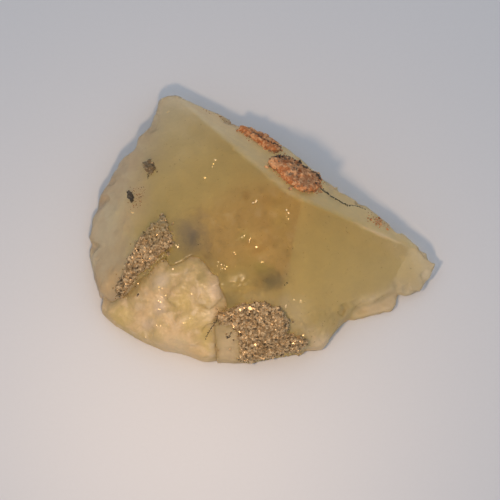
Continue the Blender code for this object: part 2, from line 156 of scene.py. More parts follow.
class SpecimenColours(bpy.types.PropertyGroup):
    """Colours of the minerals."""

    olive: colour("Olive", "Haze of the fluorite's outer parts", (0.89, 0.655, 0.185))
    gold: colour("Gold", "Clear core of the fluorite", (0.82, 0.48, 0.10))
    amber: colour("Amber", "Darker flecks in the core", (0.40, 0.20, 0.03))
    moss: colour("Moss", "Greenish dark parts of the core", (0.34, 0.27, 0.05))
    slate: colour("Slate", "Greyish dark part of the core", (0.07, 0.07, 0.03))
    milk: colour("Milk", "Milky corner", (0.86, 0.78, 0.58))
    frost: colour("Frost", "Frosted back face and foot", (0.97, 0.76, 0.44))
    blush: colour("Blush", "Pinkish frosted rim", (0.80, 0.62, 0.43))
    depth: colour("Depth", "What is left of white light in thick fluorite", (0.95, 0.79, 0.20))
    straw: colour("Straw", "Clearer parts of the calcite", (0.76, 0.56, 0.22))
    gleam: colour("Gleam", "Golden cleavage flakes", (1.0, 0.72, 0.26))
    cream: colour("Cream", "Body of the calcite", (0.94, 0.65, 0.31))
    veil: colour("Veil", "Pale cleavage veils in the calcite", (1.00, 0.79, 0.51))
    shell: colour("Shell", "What is left of white light in thick calcite", (0.95, 0.79, 0.30))
    brass: colour("Brass", "Bright sulfide crystals", (0.62, 0.445, 0.24))
    bronze: colour("Bronze", "Dull sulfide crystals", (0.305, 0.215, 0.11))
    umber: colour("Umber", "Tarnished sulfide and stained grains", (0.20, 0.155, 0.095))
    rust: colour("Rust", "Iron crust", (0.50, 0.19, 0.06))
    ochre: colour("Ochre", "Pale powder on the iron crust", (0.72, 0.40, 0.19))
    soot: colour("Soot", "Dark streaks and grains", (0.035, 0.028, 0.020))
    smoke: colour("Smoke", "Cloud deep in the fluorite", (0.09, 0.09, 0.10))
    haze: colour("Haze", "Greyish halo of that cloud", (0.17, 0.14, 0.11))
    thin: colour("Thin", "Stained stone between the left druse's upper crystals", (0.36, 0.27, 0.12))
    paper: colour("Paper", "Floor of the studio", (0.68, 0.68, 0.68))


class SpecimenSizes(bpy.types.PropertyGroup):
    """Sizes of the fine surface."""

    fluorite_mesh: length("Fluorite mesh", "Step of the fluorite's fine mesh", 0.30 * MM)
    calcite_mesh: length("Calcite mesh", "Step of the calcite's fine mesh", 0.20 * MM)
    swell: length("Swell", "Height of the slow waves on the smooth faces", 0.03 * MM)
    grit: length("Grit", "Depth of the broken zones' roughness", 0.30 * MM)
    grain: length("Sulfide grain", "Size of a middling sulfide crystal", 0.27 * MM)
    crumb: length("Iron crumb", "Size of a middling crumb of the iron crust", 0.40 * MM)
    front_grains: IntProperty(
        name="Front grains", description="Crystals on the front druse", default=5600, min=0)
    left_grains: IntProperty(
        name="Left grains", description="Crystals on the left druse", default=3600, min=0)
    clearness: share("Clearness", "How much light passes through the fluorite", 0.80)
    calcite_clearness: share("Calcite clearness", "How much light passes through the calcite", 0.40)


class SpecimenStudio(bpy.types.PropertyGroup):
    """Camera and light."""

    distance: length("Distance", "Camera to the middle of the floor", 0.90)
    elevation: FloatProperty(
        name="Elevation", description="Camera above the horizon", default=math.radians(70), subtype="ANGLE")
    field: length("Field", "Width of what the camera sees, at that distance", 0.090)
    key: FloatProperty(name="Key", description="Warm lamp, in watts", default=0.044, min=0.0)
    key_size: length("Key size", "Width of the warm lamp", 0.012)
    key_colour: colour("Key colour", "Colour of the warm lamp", (1.0, 0.70, 0.46))
    sky: FloatProperty(
        name="Sky", description="Strength of the light from all round", default=0.635, min=0.0)
    sky_colour: colour("Sky colour", "Colour of the light from all round", (0.805, 0.875, 1.0))


class Value:
    """A number socket that takes part in sums: each sign adds a Math node."""

    def __init__(self, finish, socket):
        self.finish = finish
        self.socket = socket

    def __add__(self, other):
        return self.finish.math("ADD", self, other)

    def __sub__(self, other):
        return self.finish.math("SUBTRACT", self, other)

    def __rsub__(self, other):
        return self.finish.math("SUBTRACT", other, self)

    def __mul__(self, other):
        return self.finish.math("MULTIPLY", self, other)

    __radd__ = __add__
    __rmul__ = __mul__

    def most(self, other):
        return self.finish.math("MAXIMUM", self, other)

    def between(self, low, high):
        """0 below low, 1 above high, with a soft slope between; high may be the smaller."""
        return self.finish.node(
            "ShaderNodeMapRange", {"interpolation_type": "SMOOTHSTEP"}, {0: self, 1: low, 2: high})


class Finish:
    """A material that is made node by node."""

    def __init__(self, name):
        self.material = bpy.data.materials.new(name)
        self.material.use_nodes = True
        self.tree = self.material.node_tree
        self.tree.nodes.clear()
        self.output = self.tree.nodes.new("ShaderNodeOutputMaterial")
        place = self.node("ShaderNodeTexCoord", output="Object")
        self.place = self.node("ShaderNodeVectorMath", {"operation": "SCALE"}, {0: place, "Scale": 1 / MM})

    def node(self, kind, settings=None, sockets=None, output=0):
        """A node: its settings come first, then its sockets' values or links; gives one of its outputs."""
        made = self.tree.nodes.new(kind)
        for name, value in (settings or {}).items():
            setattr(made, name, value)
        for name, value in (sockets or {}).items():
            if isinstance(value, Value):
                self.tree.links.new(value.socket, made.inputs[name])
            else:
                made.inputs[name].default_value = value
        return Value(self, made.outputs[output])

    def math(self, operation, first, second):
        return self.node("ShaderNodeMath", {"operation": operation}, {0: first, 1: second})

    def mix(self, factor, first, second):
        """Two colours mixed."""
        sockets = {0: factor, 6: self.solid(first), 7: self.solid(second)}
        return self.node("ShaderNodeMix", {"data_type": "RGBA"}, sockets, output=2)

    def solid(self, shade):
        return shade if isinstance(shade, Value) else (*shade, 1)

    def shaded(self, shade, brightness):
        """A colour made lighter or darker by a value."""
        sockets = {0: shade, "Scale": brightness}
        return self.node("ShaderNodeVectorMath", {"operation": "SCALE"}, sockets)

    def noise(self, scale, detail=3.0, rough=0.55, twist=0.0):
        """Cloudy noise about 0.5, with scale features to the millimetre."""
        sockets = {
            "Vector": self.place, "Scale": scale, "Detail": detail, "Roughness": rough, "Distortion": twist}
        return self.node("ShaderNodeTexNoise", None, sockets)

    def cell_shade(self, scale):
        """A number that is the same all over each cell."""
        sockets = {"Vector": self.place, "Scale": scale}
        tint = self.node("ShaderNodeTexVoronoi", None, sockets, output="Color")
        return self.node("ShaderNodeSeparateColor", None, {0: tint})

    def plan(self):
        """The place's x and y in mm."""
        return (
            self.node("ShaderNodeSeparateXYZ", None, {0: self.place}, output="X"),
            self.node("ShaderNodeSeparateXYZ", None, {0: self.place}, output="Y"))

    def oval(self, middle, radii, turn=0, wander=0.0, full=0.45):
        """1 out to the full share of an upright oval column, 0 at its wall; wander bends the wall."""
        sockets = {
            "Vector": self.place, "Location": (*middle, 0), "Rotation": (0, 0, math.radians(turn)),
            "Scale": (*radii, 1000)}
        inside = self.node("ShaderNodeMapping", {"vector_type": "TEXTURE"}, sockets)
        away = self.node("ShaderNodeVectorMath", {"operation": "LENGTH"}, {0: inside}, output="Value")
        return (away + wander * 0.3).between(1.0, full)

    def streaks(self, turn, across, along):
        """Cloudy noise about 0.5, drawn out along a direction in plan; across and along in mm."""
        sockets = {
            "Vector": self.place, "Rotation": (0, 0, math.radians(turn)), "Scale": (along, across, across)}
        stretched = self.node("ShaderNodeMapping", {"vector_type": "TEXTURE"}, sockets)
        return self.node("ShaderNodeTexNoise", None, {"Vector": stretched, "Scale": 1.0, "Detail": 4.0})

    def place_along(self, direction):
        """How far the place lies along a direction in plan, in mm."""
        sockets = {0: self.place, 1: (*direction, 0)}
        return self.node("ShaderNodeVectorMath", {"operation": "DOT_PRODUCT"}, sockets, output="Value")

    def attribute(self, name):
        return self.node("ShaderNodeAttribute", {"attribute_name": name}, output="Fac")

    def bump(self, height, distance, strength=1.0):
        sockets = {"Height": height, "Distance": distance, "Strength": strength}
        return self.node("ShaderNodeBump", None, sockets)

    def shader(self, sockets):
        return self.node("ShaderNodeBsdfPrincipled", None, sockets)

    def done(self, shader, absorbs=None):
        """Ends the material with a shader and, for a clear piece, the colour and density of its inside."""
        self.tree.links.new(shader.socket, self.output.inputs["Surface"])
        if absorbs:
            shade, density = absorbs
            inside = {"Color": self.solid(shade), "Density": density}
            depth = self.node("ShaderNodeVolumeAbsorption", None, inside)
            self.tree.links.new(depth.socket, self.output.inputs["Volume"])
        return self.material

    def milky(self, body, tint, skin, clearness, depth, density):
        """A clear stone with a haze in it: the haze has the body's colour, the clear share absorbs."""
        haze = self.shader({"Base Color": body, **skin})
        clear = self.shader({"Base Color": tint, "Transmission Weight": 1.0, **skin})
        stone = self.node("ShaderNodeMixShader", None, {0: clearness, 1: haze, 2: clear})
        return self.done(stone, (depth, density))

    def surface(self, sockets, absorbs=None):
        return self.done(self.shader(sockets), absorbs)


def settings():
    scene = bpy.context.scene
    return scene.specimen_colours, scene.specimen_sizes, scene.specimen_studio


def node_mesh(node):
    """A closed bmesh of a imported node."""
    bm = bmesh.new()
    bm.from_mesh(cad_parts[node].data)
    bmesh.ops.remove_doubles(bm, verts=bm.verts, dist=WELD)
    bm.normal_update()
    return bm


def as_piece(bm, name):
    mesh = bpy.data.meshes.new(name)
    bm.to_mesh(mesh)
    bm.free()
    piece = bpy.data.objects.new(name, mesh)
    bpy.context.scene.collection.objects.link(piece)
    return piece


def fine_skin(bm, step):
    """One closed, even mesh over everything in a bmesh."""
    rough = as_piece(bm, "rough")
    skin = rough.modifiers.new("skin", "REMESH")
    skin.mode = "VOXEL"
    skin.voxel_size = step
    even = bpy.data.meshes.new_from_object(rough.evaluated_get(bpy.context.evaluated_depsgraph_get()))
    fine = bmesh.new()
    fine.from_mesh(even)
    fine.normal_update()
    bpy.data.meshes.remove(even)
    bpy.data.meshes.remove(rough.data)
    return fine


def relaxed(bm, verts, rounds):
    """Smooths some vertices, time after time."""
    for _ in range(rounds):
        bmesh.ops.smooth_vert(
            bm, verts=verts, factor=0.5, use_axis_x=True, use_axis_y=True, use_axis_z=True)


def finish_piece(piece, material, slot, *nodes):
    """Gives a piece its material and its body, keeps it above the floor and hides the nodes that it stands
    for; slot is not used.
    """
    for vertex in piece.data.vertices:
        vertex.co.z = max(vertex.co.z, 0)
    piece.data.materials.append(material)
    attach(piece, "root")
    if nodes:
        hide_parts(*nodes)


def blurred(bm, values, rounds):
    """Numbers of the vertices, each pulled to the mean of its neighbours time after time."""
    ends = np.array([[vert.index for vert in edge.verts] for edge in bm.edges])
    counts = np.bincount(ends.ravel(), minlength=len(values))
    values = np.array(values, float)
    for _ in range(rounds):
        sums = np.bincount(ends[:, 0], values[ends[:, 1]], len(values))
        sums += np.bincount(ends[:, 1], values[ends[:, 0]], len(values))
        values = (values + sums / counts) / 2
    return values


def cloud(point, scale, octaves=3):
    """Fractal noise about 0 at a point, with features of scale metres."""
    return noise.fractal(point / scale, 0.7, 2.1, octaves)


def facets(point, scale):
    """Height about 0 of flat chips that lean at random, each about scale metres wide."""
    middle = noise.voronoi(point / scale)[1][0]
    lean = noise.noise_vector(middle * LEAN_SPREAD)
    return lean.dot(point / scale - middle)


def chipped(point, chips):
    """Height about 0 of broken stone with chips of several sizes."""
    return sum(facets(point, size) * share for size, share in chips)


def turned(*degrees):
    """A turn about X, then Y, then Z."""
    matrix = Matrix.Identity(4)
    for angle, axis in zip(degrees, "XYZ"):
        matrix = Matrix.Rotation(math.radians(angle), 4, axis) @ matrix
    return matrix


def any_turn(rng):
    return turned(rng.uniform(0, 360), rng.uniform(0, 360), rng.uniform(0, 360))


def gathered(makers):
    """One bmesh of many small shapes, made a few dozen at a time: an operator walks its whole mesh."""
    whole = bmesh.new()
    few = bmesh.new()
    makers = list(makers)
    for first in range(0, len(makers), BATCH):
        for maker in makers[first:first + BATCH]:
            maker(few)
        mesh = bpy.data.meshes.new("few")
        few.to_mesh(mesh)
        whole.from_mesh(mesh)
        bpy.data.meshes.remove(mesh)
        few.clear()
    few.free()
    return whole


def added(bm, more):
    """Puts one bmesh into another."""
    mesh = bpy.data.meshes.new("more")
    more.to_mesh(mesh)
    more.free()
    bm.from_mesh(mesh)
    bpy.data.meshes.remove(mesh)
    return bm


def seats(bm, rng, count, lowest=0.0):
    """Random places on a mesh, even over its upper side: point, normal."""
    faces = [face for face in bm.faces if face.normal.z > -0.3 and face.calc_center_median().z > lowest]
    for face in rng.choices(faces, [face.calc_area() for face in faces], k=count):
        a, b, c = (vert.co for vert in face.verts[:3])
        u, v = rng.random(), rng.random()
        if u + v > 1:
            u, v = 1 - u, 1 - v
        yield a + (b - a) * u + (c - a) * v, face.normal.copy()


def crystal(rng, seat, across):
    """A maker of one small crystal on its seat: a cube or a four-sided point."""
    point, normal = seat
    place = Matrix.Translation(point + normal * across * 0.1) @ any_turn(rng)
    if rng.random() < 0.55:
        return lambda bm: bmesh.ops.create_cube(bm, size=across * 0.85, matrix=place)
    depth = across * rng.uniform(0.7, 1.2)
    return lambda bm: bmesh.ops.create_cone(
        bm, cap_ends=True, segments=4, radius1=across * 0.6, radius2=0, depth=depth, matrix=place)


def crumb(rng, seat, across):
    """A maker of one rounded crumb on its seat."""
    squash = Matrix.Diagonal((1, rng.uniform(0.6, 1), rng.uniform(0.5, 1), 1))
    place = Matrix.Translation(seat[0]) @ any_turn(rng) @ squash
    return lambda bm: bmesh.ops.create_icosphere(bm, subdivisions=1, radius=across * 0.5, matrix=place)


def tree_of(*pieces):
    """Finished pieces, to drop things on."""
    bm = bmesh.new()
    for name in pieces:
        bm.from_mesh(bpy.data.objects[name].data)
    tree = BVHTree.FromBMesh(bm)
    bm.free()
    return tree


def settled(bm, tree):
    """Closes the gap to what carries a crust: what faces it, within reach, goes a little way in."""
    for vert in bm.verts:
        point, normal, _, away = tree.find_nearest(vert.co, CRUST_REACH)
        if point and vert.co.z > OFF_FLOOR and (point - vert.co).dot(vert.normal) > away * 0.1:
            vert.co = point - normal * CRUST_DEPTH


def crust_skin(node, rock, rounds):
    """The fine mesh of a crust, settled on the rock."""
    bm = fine_skin(node_mesh(node), CRUST_STEP)
    relaxed(bm, bm.verts, rounds)
    bm.normal_update()
    settled(bm, rock)
    return bm


def drawn(bm, tree, reach, depth):
    """Draws a mesh on to its neighbour, the more the nearer it is; gives each vertex's nearness, 0 to 1."""
    nearness = []
    for vert in bm.verts:
        point, normal, _, away = tree.find_nearest(vert.co, reach)
        part = 1 - away / reach if point else 0
        part = part * part * (3 - 2 * part)
        if point:
            vert.co += (point - normal * depth * (1.2 - normal.z) - vert.co) * part
        nearness.append(part)
    return nearness


def seat_at(tree, x, y):
    """Where a plumb line at x, y in mm meets the rock: point, normal."""
    point, normal, _, _ = tree.ray_cast(Vector((x * MM, y * MM, 1)), -UP)
    return point, normal


def seats_near(tree, rng, x, y, spread, count):
    """Places scattered about x, y in mm; what falls beside the stone is left out."""
    for _ in range(count):
        seat = seat_at(tree, x + rng.gauss(0, spread), y + rng.gauss(0, spread))
        if seat[0]:
            yield seat


def seated(bm, rock, rng, count, one_in, spread):
    """Places for the grains of a crust, and for a few strays on the stone beside it."""
    places = list(seats(bm, rng, count))
    for point, _ in rng.sample(places, count // one_in):
        places += seats_near(rock, rng, point.x / MM, point.y / MM, spread, 1)
    return places


def along(route, step):
    """Places in mm every step along a route in plan."""
    for (x0, y0), (x1, y1) in zip(route, route[1:]):
        count = max(1, round(math.hypot(x1 - x0, y1 - y0) / step))
        for index in range(count):
            part = index / count
            yield x0 + (x1 - x0) * part, y0 + (y1 - y0) * part


class SPECIMEN_OT_fluorite(bpy.types.Operator):
    """Fluorite crystal: smooth faces with slow waves, rough broken rim"""

    bl_idname = "specimen.fluorite"
    bl_label = "Fluorite"

    def execute(self, context):
        colours, sizes, _ = settings()
        solid = node_mesh("fluorite")
        kinds = face_kinds(solid)
        tree = BVHTree.FromBMesh(solid)
        for middle, radii in FILLED:
            place = Matrix.Translation(Vector(middle) * MM) @ Matrix.Diagonal((*radii, 1))
            bmesh.ops.create_icosphere(solid, subdivisions=3, radius=MM, matrix=place)
        bm = fine_skin(solid, sizes.fluorite_mesh)
        bm.verts.index_update()
        kind = [kinds[tree.find_nearest(vert.co)[2]] for vert in bm.verts]
        border = BVHTree.FromBMesh(node_mesh("calcite"))
        bordering = {vert.index for vert in bm.verts if border.find_nearest(vert.co, FLUORITE_REACH)[0]}
        smooth = [
            vert for vert in bm.verts
            if vert.index not in bordering and (kind[vert.index] in ("front", "side") or on_foot(vert.co))]
        back_verts = [vert for vert in bm.verts if kind[vert.index] == "back"]
        relaxed(bm, bm.verts, SMOOTHING["all"])
        relaxed(bm, smooth, SMOOTHING["faces"])
        relaxed(bm, back_verts, SMOOTHING["back"])
        undersides = [vert for vert in bm.verts if vert.normal.z < -0.3 and vert.co.z > OFF_FLOOR]
        relaxed(bm, undersides, SMOOTHING["undersides"])
        drawn(bm, border, FLUORITE_REACH, 0.0)
        top, end = (Vector(place) * MM for place in RIDGE_ENDS)
        ridge = [
            vert for vert in bm.verts
            if kind[vert.index] in ("front", "back")
            and (intersect_point_line(vert.co, top, end)[0] - vert.co).length < RIDGE_WIDTH
            and (vert.co - (top + end) / 2).length < (top - end).length / 2 + RIDGE_PAST]
        relaxed(bm, ridge, SMOOTHING["ridge"])
        rough_now = [kind[vert.index] == "broken" and vert.index not in bordering for vert in bm.verts]
        broken = blurred(bm, rough_now, BLURRING["broken"])
        frosted = blurred(bm, broken, BLURRING["frosted"])
        back = blurred(bm, [kind[vert.index] == "back" for vert in bm.verts], BLURRING["back"])
        broken_layer, back_layer = (bm.verts.layers.float.new(name) for name in ("broken", "back"))
        bm.normal_update()
        for vert in bm.verts:
            vert[broken_layer] = frosted[vert.index]
            vert[back_layer] = back[vert.index]
            if vert.co.z < ON_FLOOR:
                continue
            slow = cloud(vert.co, 6 * MM, 2) * sizes.swell
            rough = chipped(vert.co, FLUORITE_CHIPS) + cloud(vert.co, 0.8 * MM, 3) * 0.3
            vert.co += vert.normal * (slow + rough * sizes.grit * broken[vert.index])
            vert.co.z = max(vert.co.z, 0)
        piece = as_piece(bm, "fluorite_crystal")
        piece.data.shade_smooth()
        finish_piece(piece, fluorite_finish(colours, sizes), "fluorite", "fluorite")
        return {"FINISHED"}


# Chips of the solid that the fine skin fills and a corner that it rounds out: middle and radii in mm.
FILLED = (
    ((-7.1, -23.3, 1.9), (1.7, 1.5, 1.7)), ((-29.8, -6.0, 1.6), (1.1, 2.2, 2.0)),
    ((-16.6, 23.9, 2.7), (2.7, 1.7, 2.5)),
)


def on_foot(point):
    """Whether a point is on the steep but smooth front, above the druse."""
    return FOOT_X[0] < point.x < FOOT_X[1] and FOOT_Y[0] < point.y < FOOT_Y[1] and point.z > FOOT_LOWEST


def face_kinds(bm):
    """Front, back, side or broken for each face of the solid, by the flat that it lies in."""
    flats = []
    owner = []
    for face in bm.faces:
        for index, flat in enumerate(flats):
            if face.normal.dot(flat[0]) > 0.9995:
                flat[1] += face.calc_area()
                owner.append(index)
                break
        else:
            owner.append(len(flats))
            flats.append([face.normal.copy(), face.calc_area()])
    kinds = []
    for normal, area in flats:
        if area < SMOOTH_FACE_AREA:
            kinds.append("broken")
        elif normal.y > 0.5:
            kinds.append("back")
        elif normal.z > 0.8:
            kinds.append("front")
        else:
            kinds.append("side")
    return [kinds[index] for index in owner]


# Patches of colour in the fluorite: middle and radii in plan, in mm, turn in degrees, colour and strength.
PATCHES = (
    ((-3.2, 1.5), (1.0, 2.0), 0, "amber", 0.8), ((1.4, 0.3), (3.2, 1.7), -20, "amber", 0.6),
    ((2.7, -3.4), (3.2, 6.0), 8, "moss", 0.5), ((-3.5, -6.0), (1.8, 2.0), 0, "moss", 0.9),
    ((-2.5, -7.2), (2.2, 1.2), 0, "amber", 0.8), ((-1.2, -8.5), (3.2, 1.4), 30, "amber", 0.9),
    # The first patch on the next line, frost at (-0.2, -10.0), is a painted highlight: a pale streak where
    # the core glints.
    ((-0.2, -10.0), (1.8, 0.8), 35, "frost", 0.35), ((0.8, -6.8), (3.0, 1.8), 0, "amber", 0.6),
    ((-2.4, -11.6), (6.0, 3.8), -10, "moss", 0.6), ((-0.6, -11.3), (3.2, 1.8), -20, "moss", 1.0),
    ((0.9, -12.2), (1.8, 2.0), -30, "moss", 0.9), ((1.8, -13.5), (4.4, 2.5), 15, "slate", 1.0),
    ((-4.6, -13.0), (6.0, 4.4), 0, "moss", 0.7), ((-6.6, -16.8), (3.0, 1.7), 10, "slate", 0.5),
    ((-0.4, -16.8), (6.0, 2.0), 0, "frost", 0.4), ((5.4, -18.0), (4.4, 5.2), -25, "frost", 0.6),
    ((10.4, -22.0), (5.4, 3.8), 0, "veil", 0.9), ((-12.3, -1.0), (4.6, 2.0), -12, "amber", 0.45),
    ((-13.3, -4.4), (6.6, 5.4), -35, "haze", 0.85), ((20.2, -2.8), (6.6, 0.8), -15, "frost", 0.9),
    ((-22.6, 2.8), (1.8, 3.0), 0, "rust", 0.25), ((-6.4, -22.4), (4.6, 5.6), 0, "frost", 0.95),
    ((-27.6, -11.6), (4.6, 3.4), 0, "cream", 0.8),
    ((-7.0, 20.0), (10.0, 3.4), -32, "cream", 0.6),
    ((19.4, -14.6), (6.6, 2.4), 18, "frost", 0.9),
)


def patched(finish, body, colours, patches, wander):
    """A body colour with its patches mixed in, and how far any patch covers it."""
    covered = 0
    for middle, radii, turn, name, strength in patches:
        patch = finish.oval(middle, radii, turn, wander, 0.1) * strength
        body = finish.mix(patch, body, getattr(colours, name))
        covered = patch.most(covered)
    return body, covered


def fluorite_finish(colours, sizes):
    finish = Finish("fluorite")
    x, y = finish.plan()
    back = finish.attribute("back")
    clouds = finish.noise(0.10, 3, 0.55, 0.4) - 0.5
    mottle = finish.noise(0.32, 5, 0.62, 0.5) - 0.5
    fine = finish.noise(1.8, 4, 0.65) - 0.5
    flecks = finish.noise(0.8, 3, 0.6) - 0.5
    streak = finish.streaks(-32, 0.7, 6.0) - 0.5
    foot = finish.oval((6.0, -19.0), (22, 11), -8)
    broken = finish.attribute("broken") * (1 - foot)
    right_face = (x - y * 0.20 + mottle * 0.8).between(6.1, 6.8)
    core = finish.oval((-1.0, -5.5), (15, 13), 0, mottle * 2.0) * (1 - right_face)
    milk = (finish.place_along((-0.62, 0.78)) + clouds * 9).between(12.0, 31.0)
    rim = (x - y * 0.06 + clouds * 10 + mottle * 5).between(-18.5, -26.5)
    tip = (x - y * 0.59 + mottle * 0.3).between(28.8, 29.3)
    strip = back * (0.40 + (x + mottle * 4).between(10.0, -14.0) * 0.5 + streak * 0.9)
    body = finish.mix(core, colours.olive, colours.gold)
    body = finish.mix(core * (mottle + fine * 0.4).between(0.0, 0.2) * 0.5, body, colours.amber)
    body = finish.mix(core * flecks.between(0.03, 0.15) * 0.7, body, colours.amber)
    body = finish.mix(core * flecks.between(-0.04, -0.16) * 0.5, body, colours.frost)
    body = finish.mix(milk * 0.7, body, colours.milk)
    body = finish.mix(tip * 0.4, body, colours.frost)
    pale = finish.mix((clouds + mottle).between(-0.2, 0.25), colours.blush, colours.milk)
    body = finish.mix(rim.most(broken * 0.6) * 0.8, body, pale)
    body = finish.mix(strip * 0.9, body, colours.frost)
    body, veiled = patched(finish, body, colours, PATCHES, mottle * 4.5)
    shade = 1.0 + clouds * 0.30 + mottle * 0.50 + fine * 0.40
    skin = {
        "Roughness": 0.30 + broken * 0.2 + strip * 0.1 + fine * 0.15,
        "IOR": FLUORITE_IOR,
        "Normal": finish.bump(finish.noise(0.32, 2) + finish.noise(0.9, 2) * 0.5, 0.08 * MM, 0.3),
    }
    light = 1.0 + clouds * 0.12 + mottle * 0.16 + fine * 0.10 - core * flecks * 0.2
    tint = finish.shaded(CLEAR_TINT, light)
    frosted = (broken * 0.5).most(strip).most(rim * 0.6).most(milk * 0.7).most(tip * 0.5).most(veiled)
    clearness = sizes.clearness + core * 0.03 - frosted * 0.24 - back * 0.15
    return finish.milky(finish.shaded(body, shade), tint, skin, clearness, colours.depth, FLUORITE_DENSITY)


class SPECIMEN_OT_calcite(bpy.types.Operator):
    """Calcite mass: low cleavage steps with soft edges"""

    bl_idname = "specimen.calcite"
    bl_label = "Calcite"

    def execute(self, context):
        colours, sizes, _ = settings()
        bm = fine_skin(node_mesh("calcite"), sizes.calcite_mesh)
        relaxed(bm, bm.verts, SMOOTHING["calcite"])
        bm.normal_update()
        for vert in bm.verts:
            rough = chipped(vert.co, CALCITE_CHIPS) + cloud(vert.co, 0.7 * MM, 3) * 0.05
            vert.co += vert.normal * rough * MM
            vert.co.z = max(vert.co.z, 0)
        border = bm.verts.layers.float.new("border")
        nearness = drawn(bm, tree_of("fluorite_crystal"), CALCITE_REACH, CALCITE_DEPTH)
        for vert, near in zip(bm.verts, nearness):
            vert[border] = near
        piece = as_piece(bm, "calcite_mass")
        piece.data.shade_smooth()
        finish_piece(piece, calcite_finish(colours, sizes), "calcite", "calcite")
        return {"FINISHED"}


# Patches of colour in the calcite, told the same way.
CALCITE_PATCHES = (
    ((-18.2, -12.6), (2.4, 1.9), 30, "veil", 0.9), ((-18.5, -16.6), (1.8, 2.2), 0, "blush", 0.8),
    ((-11.1, -13.0), (1.3, 2.0), -20, "moss", 0.4), ((-8.4, -15.2), (2.6, 2.6), 0, "blush", 0.7),
    ((-9.4, -18.6), (2.8, 1.6), 20, "frost", 0.7), ((-14.2, -16.4), (2.6, 2.4), 0, "olive", 0.6),
    ((-14.6, -10.6), (4.0, 1.1), 10, "olive", 0.5), ((-25.0, -17.0), (3.6, 2.4), -35, "olive", 0.6),
    ((-15.8, -22.4), (4.6, 1.6), -12, "frost", 0.6), ((-10.4, -21.4), (2.2, 3.6), 0, "olive", 0.6),
    ((-20.6, -19.2), (2.0, 1.6), 0, "blush", 0.6), ((-13.2, -20.0), (2.0, 1.4), 30, "olive", 0.5),
)


def calcite_finish(colours, sizes):
    finish = Finish("calcite")
    _, y = finish.plan()
    border = finish.attribute("border")
    clouds = finish.noise(0.16, 4, 0.6, 1.0) - 0.5
    wisps = finish.noise(0.42, 5, 0.68, 1.0) - 0.5
    fine = finish.noise(2.0, 4, 0.66) - 0.5
    chips = finish.cell_shade(0.9)
    body = finish.mix((clouds + wisps * 0.5).between(-0.12, 0.14), colours.straw, colours.cream)
    body = finish.mix(wisps.between(0.0, 0.22) * 0.6, body, colours.veil)
    body = finish.mix(chips.between(0.80, 1.0) * 0.4, body, colours.veil)
    body, _ = patched(finish, body, colours, CALCITE_PATCHES, wisps * 3.5)
    body = finish.mix(border * 0.5, body, colours.straw)
    shade = 0.83 + y.between(-12.0, -20.0) * 0.10 - border * 0.04 + fine * 0.34 + wisps * 0.40
    skin = {
        "Roughness": 0.44 + fine * 0.3,
        "IOR": CALCITE_IOR,
        "Normal": finish.bump(wisps + fine * 0.4, 0.10 * MM, 0.4),
    }
    tint = finish.shaded(CLEAR_TINT, 1.0 + wisps * 0.25 + fine * 0.1)
    clearness = sizes.calcite_clearness + border * 0.25
    return finish.milky(finish.shaded(body, shade), tint, skin, clearness, colours.shell, CALCITE_DENSITY)


class SPECIMEN_OT_druses(bpy.types.Operator):
    """Sulfide druses: thousands of small brassy crystals on each crust"""

    bl_idname = "specimen.druses"
    bl_label = "Sulfide druses"

    def execute(self, context):
        colours, sizes, _ = settings()
        fresh = sulfide_finish("sulfide", colours.bronze, colours.brass, colours.thin)
        tarnished = sulfide_finish("tarnished sulfide", colours.umber, colours.bronze, colours.thin)
        rock = tree_of(*ROCKS)
        for node, count, seed, size, material in (
                ("sulfide_druse_front", sizes.front_grains, 11, 1.0, fresh),
                ("sulfide_druse_left", sizes.left_grains, 12, 1.0, fresh),
                ("sulfide_spot_upper", 170, 13, 0.9, tarnished),
                ("sulfide_spot_lower", 70, 14, 0.9, finish_of_soot(colours))):
            rng = random.Random(seed)
            bm = crust_skin(node, rock, SMOOTHING["druse"])
            places = seated(bm, rock, rng, count, *DRUSE_STRAYS)
            grains = gathered(
                crystal(rng, seat, sizes.grain * size * rng.lognormvariate(0, 0.35)) for seat in places)
            piece = as_piece(added(bm, grains), node + "_crystals")
            finish_piece(piece, material, "sulfide", node)
        return {"FINISHED"}


def sulfide_finish(name, dull, bright, thin):
    """A metallic finish whose shade differs from crystal to crystal."""
    finish = Finish(name)
    tarnish = finish.cell_shade(2.4)
    patches = finish.noise(0.5, 3)
    shine = (tarnish * 0.7 + patches * 0.6).between(0.40, 0.95)
    body = finish.shaded(finish.mix(shine, dull, bright), tarnish.between(0.03, 0.14) * 0.6 + 0.4)
    sparse = finish.oval((-19.0, -3.4), (3.6, 4.4), -35, patches * 3.0 - 1.5, 0.1)
    return finish.surface({
        "Base Color": finish.mix(sparse * 0.6, body, thin),
        "Metallic": 0.4,
        "Roughness": 0.52 - shine * 0.26,
    })


def iron_finish(colours):
    finish = Finish("iron_crust")
    crumbs = finish.cell_shade(1.8)
    patches = finish.noise(0.5, 4, 0.65) - 0.5
    body = finish.mix((crumbs + patches * 2).between(0.2, 0.9), colours.rust, colours.ochre)
    body = finish.mix((crumbs - patches * 1.5).between(0.16, 0.02) * 0.8, body, colours.umber)
    return finish.surface({
        "Base Color": body,
        "Roughness": 0.65 + crumbs * 0.3,
        "Normal": finish.bump(finish.noise(3.0, 4, 0.65), 0.1 * MM, 0.6),
    })


class SPECIMEN_OT_iron_crusts(bpy.types.Operator):
    """Iron crusts: crumbly rust on the back face"""

    bl_idname = "specimen.iron_crusts"
    bl_label = "Iron crusts"

    def execute(self, context):
        colours, sizes, _ = settings()
        material = iron_finish(colours)
        rock = tree_of(*ROCKS)
        for node, count in IRON.items():
            rng = random.Random(node)
            bm = crust_skin(node, rock, SMOOTHING["crust"])
            places = seated(bm, rock, rng, count, *IRON_STRAYS)
            crumbs = gathered(crumb(rng, seat, sizes.crumb * rng.lognormvariate(0, 0.4)) for seat in places)
            piece = as_piece(added(bm, crumbs), node + "_crumbs")
            finish_piece(piece, material, "iron_crust", node)
        return {"FINISHED"}


